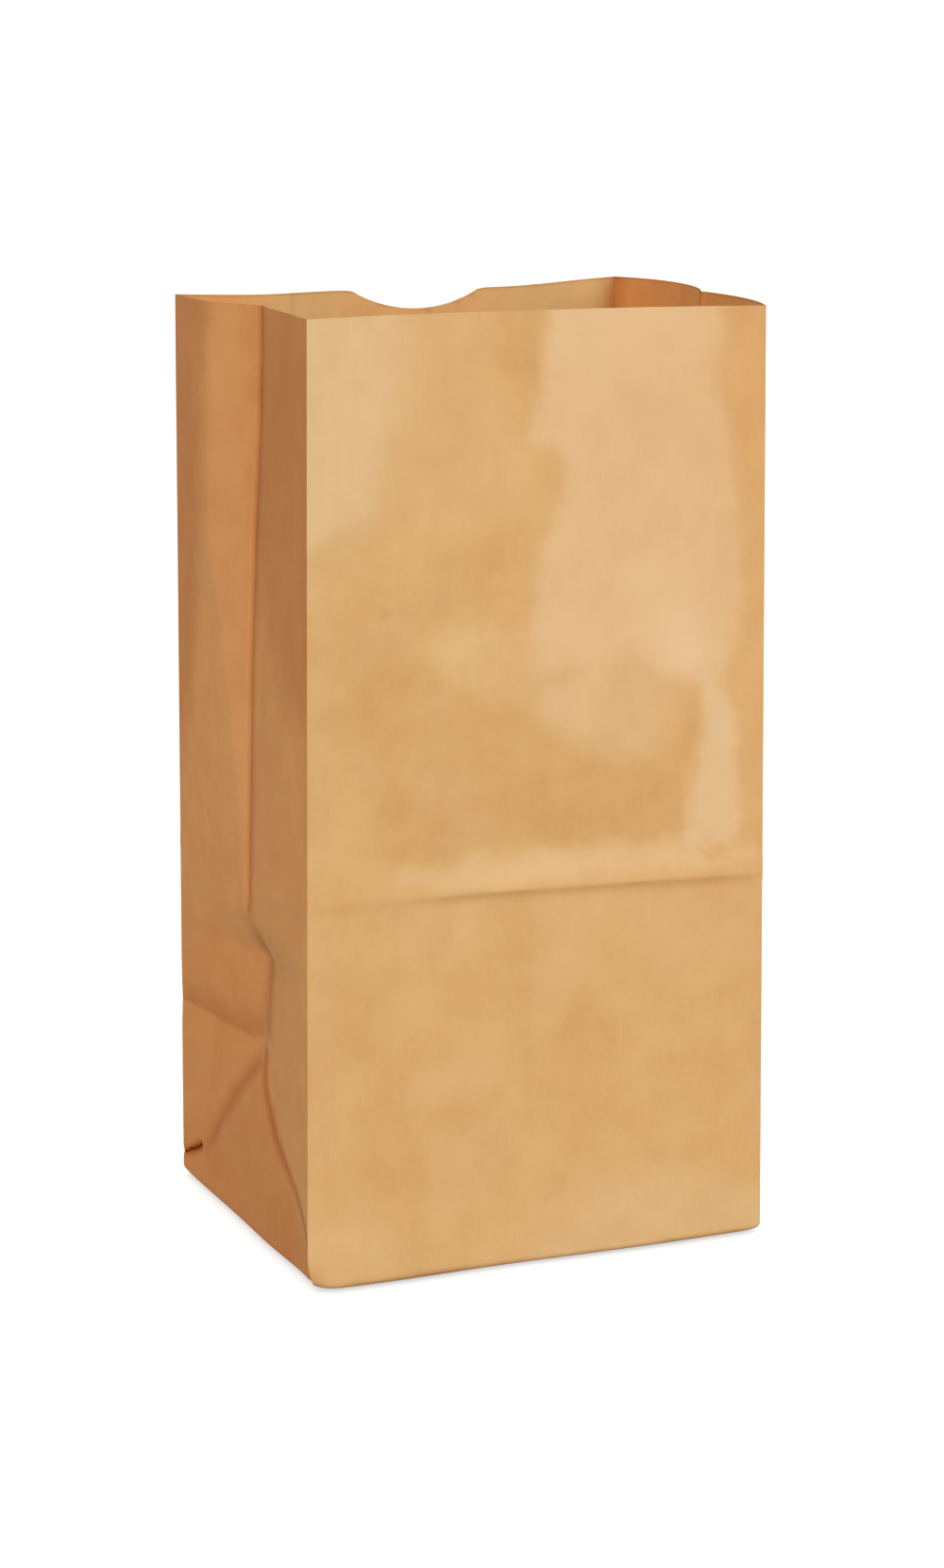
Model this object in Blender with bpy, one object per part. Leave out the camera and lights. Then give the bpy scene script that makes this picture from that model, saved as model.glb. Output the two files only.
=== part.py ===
"""Brown paper lunch bag with a square bottom, standing open.

A tube of kraft paper has a gusset in each side. Its lower end is folded
square and glued, so the opened bag stands by itself. Creases across the
walls show where the bottom lay when the bag was folded flat. It is one
sheet all round, so the bag is one solid.

X runs along the front panel, Y to the back and Z up. The origin is in the
middle of the bag's box, on the surface that the bag stands on.
"""

import bmesh
import bpy
from math import cos, isclose, pi, sin, sqrt
from mathutils import Vector

# The sheet and the open bag, metres
WIDTH = 0.130
DEPTH = 0.100
HEIGHT = 0.249
PAPER = 0.00015

# The folded bottom: its rounded edge and blunt corners, how far the sides
# are tucked in under it, and how far the two glued flaps overlap
FOLD_RADIUS = 0.0025
BLUNTING = 0.002
TUCK = 0.040
OVERLAP = 0.016

# The thumb notch in the middle of the back panel's rim
NOTCH_WIDTH = 0.038
NOTCH_DEPTH = 0.0055

# How far the rim's corners have moved from above the bottom's corners
FRONT_LEFT = Vector((0.0005, 0.0015))
FRONT_RIGHT = Vector((-0.0040, 0.0005))
BACK_RIGHT = Vector((0.0000, -0.0025))
BACK_LEFT = Vector((-0.0025, -0.0070))

# How far the panels bow in at the rim, and each gusset's two halves,
# the front half first; a value below zero is outwards
FRONT_BOW = 0.0095
BACK_BOW = 0.0120
LEFT_BOWS = (0.0000, -0.0030)
RIGHT_BOWS = (-0.0035, -0.0070)

# How far in each gusset's middle fold lies, at its foot, crease and rim
LEFT_FOLD = (0.0065, 0.0020, 0.0060)
RIGHT_FOLD = (0.0050, 0.0020, -0.0045)

# How far the creases across the front and back panels stand proud
CREASE_RIDGE = 0.0008

# The bag folds flat along these, so they follow from its bottom
FRONT_CREASE = DEPTH
GUSSET_FOOT = DEPTH / 2 + FOLD_RADIUS

# The corner folds, from front left round by the right: the bottom's corner,
# the way in from it, and how far the rim has moved
CORNERS = (
    (Vector((0, 0)), Vector((1, 1)), FRONT_LEFT),
    (Vector((WIDTH, 0)), Vector((-1, 1)), FRONT_RIGHT),
    (Vector((WIDTH, DEPTH)), Vector((-1, -1)), BACK_RIGHT),
    (Vector((0, DEPTH)), Vector((1, -1)), BACK_LEFT),
)

# The way in from each panel, from the front one round by the right
PANEL_INWARD = (Vector((0, 1)), Vector((-1, 0)), Vector((0, -1)), Vector((1, 0)))
BACK_PANEL = 2

# How finely each stretch is divided
FRONT_STEPS = 14
GUSSET_STEPS = 6
NOTCH_STEPS = 10
BACK_STEPS = 5
FOLD_STEPS = 3
MIDDLE_STEPS = 4
UPPER_STEPS = 7

# The underside's two flaps lie one over the other below the floor
FLOOR = 2 * PAPER

KRAFT = (0.694, 0.402, 0.162, 1.0)
KRAFT_ROUGHNESS = 0.85


def clear_scene():
    """Remove the objects that the file opened with."""
    for item in list(bpy.data.objects):
        bpy.data.objects.remove(item, do_unlink=True)


def kraft_paper():
    """Return the material of plain brown kraft paper."""
    material = bpy.data.materials.new("kraft_paper")
    material.use_nodes = True
    shader = material.node_tree.nodes["Principled BSDF"]
    shader.inputs["Base Color"].default_value = KRAFT
    shader.inputs["Roughness"].default_value = KRAFT_ROUGHNESS
    shader.inputs["Metallic"].default_value = 0.0
    return material


def corners(height, inset):
    """Return the plan of the four corner folds at a height.

    The inset is how far the walls have turned in on their way under the
    bottom.
    """
    rise = height / HEIGHT
    return [foot + inset * inward + rise * moved for foot, inward, moved in CORNERS]


def fold_depth(height, depths):
    """Return how far in a gusset's middle fold lies at a height."""
    foot, crease, rim = depths
    if height <= GUSSET_FOOT:
        return foot
    if height <= FRONT_CREASE:
        share = (height - GUSSET_FOOT) / (FRONT_CREASE - GUSSET_FOOT)
        return foot + (crease - foot) * share
    share = (height - FRONT_CREASE) / (HEIGHT - FRONT_CREASE)
    return crease + (rim - crease) * share


def panel_offset(along, height, bow, crease_height):
    """Return how far in the front or back panel lies, beside its corners."""
    rise = height / HEIGHT
    offset = 4 * along * (1 - along) * bow * rise ** 2
    if isclose(height, crease_height):
        offset -= CREASE_RIDGE
    return offset


def gusset_offset(back_share, height, bows, depths):
    """Return how far in a gusset lies, beside its two corner folds.

    Below the gusset's foot the middle fold parts into two creases, which
    run down to the bottom's corners and leave a flat triangle between.
    """
    nearness = 1 - abs(2 * back_share - 1)
    reach = min(nearness, height / GUSSET_FOOT)
    bow = bows[0] if back_share < 0.5 else bows[1]
    bulge = 4 * nearness * (1 - nearness) * bow * (height / HEIGHT) ** 2
    return fold_depth(height, depths) * reach + bulge


def notch_drop(along):
    """Return how far the thumb notch, a round arc, cuts down the back rim."""
    radius = (NOTCH_WIDTH ** 2 / 4 + NOTCH_DEPTH ** 2) / (2 * NOTCH_DEPTH)
    aside = (along - 0.5) * WIDTH
    if abs(aside) >= NOTCH_WIDTH / 2:
        return 0.0
    return sqrt(radius ** 2 - aside ** 2) - (radius - NOTCH_DEPTH)


def even_steps(count):
    """Return the starts of even steps along a panel."""
    return [step / count for step in range(count)]


def back_columns():
    """Return the columns of the back panel, closer together at the notch."""
    side = 0.5 - NOTCH_WIDTH / WIDTH / 2
    left = [side * step / BACK_STEPS for step in range(BACK_STEPS)]
    notch = [side + (1 - 2 * side) * step / NOTCH_STEPS for step in range(NOTCH_STEPS)]
    right = [1 - side + side * step / BACK_STEPS for step in range(BACK_STEPS)]
    return left + notch + right


def columns():
    """Return each column of points as its panel's number and place along it."""
    stretches = (
        even_steps(FRONT_STEPS),
        even_steps(2 * GUSSET_STEPS),
        back_columns(),
        even_steps(2 * GUSSET_STEPS),
    )
    return [(panel, along) for panel, places in enumerate(stretches) for along in places]


def levels():
    """Return the rows of points from the floor up, as height and inset."""
    rows = []
    for step in range(FOLD_STEPS):
        turn = pi / 2 * step / FOLD_STEPS
        rows.append((FLOOR + FOLD_RADIUS * (1 - cos(turn)), FOLD_RADIUS * (1 - sin(turn))))
    rows.append((FLOOR + FOLD_RADIUS, 0.0))
    for step in range(1, GUSSET_STEPS + 1):
        rows.append((GUSSET_FOOT * step / GUSSET_STEPS, 0.0))
    for step in range(1, MIDDLE_STEPS + 1):
        rows.append((GUSSET_FOOT + (FRONT_CREASE - GUSSET_FOOT) * step / MIDDLE_STEPS, 0.0))
    for step in range(1, UPPER_STEPS + 1):
        rows.append((FRONT_CREASE + (HEIGHT - FRONT_CREASE) * step / UPPER_STEPS, 0.0))
    return rows


def wall_point(panel, along, height, inset):
    """Return a point of the sheet's outer face."""
    if panel == BACK_PANEL:
        height = min(height, HEIGHT - notch_drop(along))
    plan = corners(height, inset)
    point = plan[panel].lerp(plan[(panel + 1) % 4], along)
    offset = (
        panel_offset(along, height, FRONT_BOW, FRONT_CREASE),
        gusset_offset(along, height, RIGHT_BOWS, RIGHT_FOLD),
        panel_offset(along, height, BACK_BOW, GUSSET_FOOT),
        gusset_offset(1 - along, height, LEFT_BOWS, LEFT_FOLD),
    )[panel]
    point = point + PANEL_INWARD[panel] * offset
    if along == 0:
        point = point + CORNERS[panel][1] * BLUNTING * inset / FOLD_RADIUS
    return Vector((point.x, point.y, height))


def sheet_surface():
    """Return the bag's outer face as an open mesh: a floor and four walls."""
    mesh = bmesh.new()
    places = columns()
    rings = [
        [mesh.verts.new(wall_point(panel, along, height, inset)) for panel, along in places]
        for height, inset in levels()
    ]
    for lower, upper in zip(rings, rings[1:]):
        for index, (_panel, along) in enumerate(places):
            after = (index + 1) % len(places)
            quad = (lower[index], lower[after], upper[after], upper[index])
            split = 0 if along < 0.5 else 1
            mesh.faces.new((quad[split], quad[split + 1], quad[split + 2]))
            mesh.faces.new((quad[split], quad[split + 2], quad[(split + 3) % 4]))
    mesh.faces.new(list(reversed(rings[0])))
    return mesh


def middle_of(mesh):
    """Return the plan middle of a mesh's box."""
    xs = [vert.co.x for vert in mesh.verts]
    ys = [vert.co.y for vert in mesh.verts]
    return Vector(((min(xs) + max(xs)) / 2, (min(ys) + max(ys)) / 2, 0.0))


def add_object(name, mesh, middle):
    """Turn a bmesh into an object with the box's middle at the origin."""
    data = bpy.data.meshes.new(name)
    mesh.to_mesh(data)
    mesh.free()
    item = bpy.data.objects.new(name, data)
    item.location = -middle
    bpy.context.scene.collection.objects.link(item)
    return item


def flap_outline(from_back):
    """Return the plan of a bottom flap, folded in from the front or back."""
    reach = DEPTH / 2 + OVERLAP / 2
    outline = (
        (FOLD_RADIUS, FOLD_RADIUS),
        (WIDTH - FOLD_RADIUS, FOLD_RADIUS),
        (WIDTH - TUCK, TUCK),
        (WIDTH - TUCK, reach),
        (TUCK, reach),
        (TUCK, TUCK),
    )
    if from_back:
        return [(x, DEPTH - y) for x, y in reversed(outline)]
    return outline


def bottom_flap(name, from_back, low, middle):
    """Add a flap of the folded bottom, to be joined to the floor above it."""
    mesh = bmesh.new()
    outline = [mesh.verts.new((x, y, low)) for x, y in flap_outline(from_back)]
    face = mesh.faces.new(outline)
    face.normal_flip()
    raised = bmesh.ops.extrude_face_region(mesh, geom=[face])
    verts = [item for item in raised["geom"] if isinstance(item, bmesh.types.BMVert)]
    bmesh.ops.translate(mesh, verts=verts, vec=(0, 0, FLOOR + PAPER / 2 - low))
    bmesh.ops.recalc_face_normals(mesh, faces=mesh.faces)
    flap = add_object(name, mesh, middle)
    flap.hide_render = True
    flap.display_type = "WIRE"
    return flap


def join(item, other, name):
    """Join another object's solid to an object's own."""
    modifier = item.modifiers.new(name, "BOOLEAN")
    modifier.operation = "UNION"
    modifier.solver = "EXACT"
    modifier.object = other


def build_bag():
    """Build the bag: the sheet's walls and floor, and the flaps below."""
    surface = sheet_surface()
    middle = middle_of(surface)
    bag = add_object("bag", surface, middle)
    bag.data.materials.append(kraft_paper())
    bag.data.shade_smooth()
    bag.data.set_sharp_from_angle(angle=pi / 12)

    sheet = bag.modifiers.new("sheet", "SOLIDIFY")
    sheet.thickness = PAPER
    sheet.offset = -1.0
    sheet.use_even_offset = True

    back_flap = bottom_flap("back_flap", True, PAPER, middle)
    front_flap = bottom_flap("front_flap", False, 0.0, middle)
    join(bag, back_flap, "back flap")
    join(bag, front_flap, "front flap")
    return bag


clear_scene()
build_bag()
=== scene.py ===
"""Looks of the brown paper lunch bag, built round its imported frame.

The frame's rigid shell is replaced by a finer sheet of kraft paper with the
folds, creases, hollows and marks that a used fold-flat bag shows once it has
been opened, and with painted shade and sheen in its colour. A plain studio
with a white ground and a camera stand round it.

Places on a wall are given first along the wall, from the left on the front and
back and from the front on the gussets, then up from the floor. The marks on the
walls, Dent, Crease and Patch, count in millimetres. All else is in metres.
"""

import logging
from dataclasses import dataclass
from enum import Enum
from math import cos, exp, hypot, inf, pi, radians, sin, sqrt

import bmesh
import bpy
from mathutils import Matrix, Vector, noise


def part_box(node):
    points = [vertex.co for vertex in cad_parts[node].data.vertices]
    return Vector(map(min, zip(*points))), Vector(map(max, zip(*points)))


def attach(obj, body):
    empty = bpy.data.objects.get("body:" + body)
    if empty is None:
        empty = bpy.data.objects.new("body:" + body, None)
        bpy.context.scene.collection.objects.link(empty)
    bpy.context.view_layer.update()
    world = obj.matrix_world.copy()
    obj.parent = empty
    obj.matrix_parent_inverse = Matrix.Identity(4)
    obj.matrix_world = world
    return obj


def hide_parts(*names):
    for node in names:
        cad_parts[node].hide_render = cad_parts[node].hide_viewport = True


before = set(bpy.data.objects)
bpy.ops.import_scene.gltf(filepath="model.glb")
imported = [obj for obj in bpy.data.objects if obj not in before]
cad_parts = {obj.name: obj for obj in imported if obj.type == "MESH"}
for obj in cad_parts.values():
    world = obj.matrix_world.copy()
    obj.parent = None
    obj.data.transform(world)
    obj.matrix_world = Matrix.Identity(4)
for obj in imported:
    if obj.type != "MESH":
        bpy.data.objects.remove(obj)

log = logging.getLogger("paper_bag")

Point = tuple[float, float]
Line = tuple[Point, ...]
Colour = tuple[float, float, float]
Tree = bpy.types.NodeTree
Socket = bpy.types.NodeSocket

NODE = "bag"
BODY = "root"
# the walls' painted shade, sheen and highlights, with a few real marks, kept as one tone per point
SHADE_AND_MARK_TONE = "painted_shade_and_mark_tone"
# without a seed the noise would follow the clock
NOISE_SEED = 7

# millimetres in a metre
MM = 1000
# the way into the bag from each wall, in the order of the walls
WAYS_IN = (Vector((0, 1)), Vector((-1, 0)), Vector((0, -1)), Vector((1, 0)))
# how far each corner fold leans at the rim, from the front left round by the right
RIM_LEANS = ((0.0005, 0.0015), (-0.0040, 0.0005), (0.0005, -0.0010), (-0.0035, -0.0085))
# how far round each corner of the foot is blunted, and how deep
BLUNTING = ((0.009, 0.0030), (0.003, 0.0003), (0.005, 0.0012), (0.003, 0.0004))
# the rows of points beside the front crease, as heights above it
CREASE_ROWS = (-0.0028, -0.0016, -0.0007, 0.0, 0.0007, 0.0016, 0.003)
# how strongly a crease's slopes steepen towards its line
CREASE_SLOPE = 1.5
# scale and reach of the waves in which the borders of patches stray
WAVES = ((0.08, 3.0), (0.24, 1.6))
WAVE_STEP = 7.0


class Wall(Enum):
    """The bag's four walls, in the order in which the sheet runs round."""

    FRONT = 0
    RIGHT = 1
    BACK = 2
    LEFT = 3

    @property
    def is_panel(self) -> bool:
        """Tell the front and back panels from the gussets."""
        return self in (Wall.FRONT, Wall.BACK)


def smooth(value: float) -> float:
    """Ease a share from nought to one.

    Args:
        value: The share, which may lie outside nought to one.

    Returns:
        The eased share, from nought to one.
    """
    share = min(max(value, 0.0), 1.0)
    return share * share * (3 - 2 * share)


def between(value: float, stops: Line) -> float:
    """Read a value off a line drawn through a few stops.

    Args:
        value: Where to read.
        stops: Pairs of place and value, in rising order of place.

    Returns:
        The value there, held level past the first and last stop.
    """
    if value <= stops[0][0]:
        return stops[0][1]
    for (low, start), (high, end) in zip(stops, stops[1:]):
        if value <= high:
            return start + (end - start) * (value - low) / (high - low)
    return stops[-1][1]


def off_stretch(start: Point, end: Point, along: float, up: float) -> tuple[float, float, float]:
    """Measure how a place lies off a straight stretch of a line.

    Args:
        start: Where the stretch starts.
        end: Where it ends.
        along: Place along the wall.
        up: Height above the floor.

    Returns:
        The share of the stretch at which it comes nearest, and how far along
        and above that point the place lies.
    """
    run, rise = end[0] - start[0], end[1] - start[1]
    share = ((along - start[0]) * run + (up - start[1]) * rise) / (run * run + rise * rise)
    share = min(max(share, 0.0), 1.0)
    return share, along - start[0] - share * run, up - start[1] - share * rise


def strayed(wall: Wall, along: float, up: float) -> Point:
    """Move a place a little, so that the borders of patches waver.

    Args:
        wall: The wall it lies on.
        along: Place along the wall.
        up: Height above the floor.

    Returns:
        The place to ask the patches for.
    """
    for scale, reach in WAVES:
        wave = noise.noise_vector(Vector((along * scale, up * scale, WAVE_STEP * wall.value)))
        along, up = along + reach * wave.x, up + reach * wave.y
    return along, up


@dataclass(frozen=True)
class Dent:
    """A soft hollow in a wall, or a swelling where its depth is negative."""

    along: float
    up: float
    spread_along: float
    spread_up: float
    depth: float
    slant: float = 0.0
    tone: float = 0.0

    def share(self, along: float, up: float) -> float:
        """Measure how much of the dent is felt at a place on its wall.

        Args:
            along: Place along the wall.
            up: Height above the floor.

        Returns:
            One at the dent's middle, falling to nought round it.
        """
        right, rise = along - self.along, up - self.up
        turn = radians(self.slant)
        across = (right * cos(turn) + rise * sin(turn)) / self.spread_along
        climb = (rise * cos(turn) - right * sin(turn)) / self.spread_up
        return exp(-(across * across + climb * climb))

    def inward(self, along: float, up: float) -> float:
        """Measure how far in the dent pushes a place on its wall."""
        return self.depth * self.share(along, up)

    def shade(self, along: float, up: float) -> float:
        """Measure how much darker the dent's paper is at a place."""
        return self.tone * self.share(along, up)


@dataclass(frozen=True)
class Crease:
    """A folded line in a wall: a valley, or a ridge where its depth is negative.

    Left and right are the sides of the line in the order of its points. The
    tone darkens the paper along the line, as painted shade in most folds and as
    the real line of the seam and the rim's edge, and lightens it as a painted
    highlight where it is negative. Both fade out towards the line's ends.
    """

    line: Line
    depth: float
    reach_left: float
    reach_right: float
    fade: float = 4.0
    tone: float = 0.0
    tone_left: float = 1.6
    tone_right: float = 1.6

    @classmethod
    def drawn(cls, line: Line, fade: float, tone: float, tone_left: float, tone_right: float) -> "Crease":
        """Make a line that darkens the paper and leaves it flat."""
        return cls(line, 0.0, 1.0, 1.0, fade, tone, tone_left, tone_right)

    def nearest(self, along: float, up: float) -> tuple[float, bool, float]:
        """Find the nearest place on the line.

        Args:
            along: Place along the wall.
            up: Height above the floor.

        Returns:
            The distance to it, whether the place asked for lies on the line's
            left, and how much of the line's strength is left so near its end.
        """
        best, left, from_end, walked = inf, False, 0.0, 0.0
        for start, end in zip(self.line, self.line[1:]):
            run, rise = end[0] - start[0], end[1] - start[1]
            share, aside, above = off_stretch(start, end, along, up)
            if hypot(aside, above) < best:
                best = hypot(aside, above)
                left = run * above - rise * aside > 0
                from_end = walked + share * hypot(run, rise)
            walked += hypot(run, rise)
        nearer = min(from_end, walked - from_end)
        return best, left, smooth(nearer / self.fade) if self.fade > 0 else 1.0

    def inward(self, along: float, up: float) -> float:
        """Measure the crease at a place on its wall.

        Args:
            along: Place along the wall.
            up: Height above the floor.

        Returns:
            How far in the wall lies there because of this crease.
        """
        distance, left, strength = self.nearest(along, up)
        reach = self.reach_left if left else self.reach_right
        return self.depth * strength * max(0.0, 1 - distance / reach) ** CREASE_SLOPE

    def shade(self, along: float, up: float) -> float:
        """Measure how much darker the crease's paper is at a place.

        Args:
            along: Place along the wall.
            up: Height above the floor.

        Returns:
            The tone that is left there.
        """
        if self.tone == 0:
            return 0.0
        distance, left, strength = self.nearest(along, up)
        reach = self.tone_left if left else self.tone_right
        return self.tone * strength * max(0.0, 1 - distance / reach)


@dataclass(frozen=True)
class Patch:
    """An area of a wall, paler where its tone is negative and darker otherwise.

    Softness is the width of its blurred border.
    """

    outline: Line
    tone: float
    softness: float = 6.0

    def shade(self, along: float, up: float) -> float:
        """Measure the patch's tone at a place on its wall.

        Args:
            along: Place along the wall.
            up: Height above the floor.

        Returns:
            The tone that the patch gives there.
        """
        nearest, inside = inf, False
        for start, end in zip(self.outline, self.outline[1:] + self.outline[:1]):
            _share, aside, above = off_stretch(start, end, along, up)
            nearest = min(nearest, hypot(aside, above))
            if (start[1] > up) != (end[1] > up):
                climbed = (end[0] - start[0]) * (up - start[1]) / (end[1] - start[1])
                inside = inside != (along < start[0] + climbed)
        depth = nearest if inside else -nearest
        return self.tone * smooth(0.5 + depth / self.softness)


@dataclass(frozen=True)
class Foot:
    """The rectangle on which the bag's walls stand, read from the frame."""

    left: float
    front: float
    width: float
    depth: float
    height: float

    @classmethod
    def from_frame(cls) -> "Foot":
        """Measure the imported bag.

        Returns:
            The walls' rectangle just above the bottom fold, and the rim's height.
        """
        low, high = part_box(NODE)
        turn_low, turn_high = 0.002, 0.0035
        ring = [
            vertex.co
            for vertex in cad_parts[NODE].data.vertices
            if turn_low < vertex.co.z < turn_high
        ]
        left = min(point.x for point in ring)
        front = min(point.y for point in ring)
        width = max(point.x for point in ring) - left
        depth = max(point.y for point in ring) - front
        return cls(left, front, width, depth, high.z - low.z)


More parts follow.
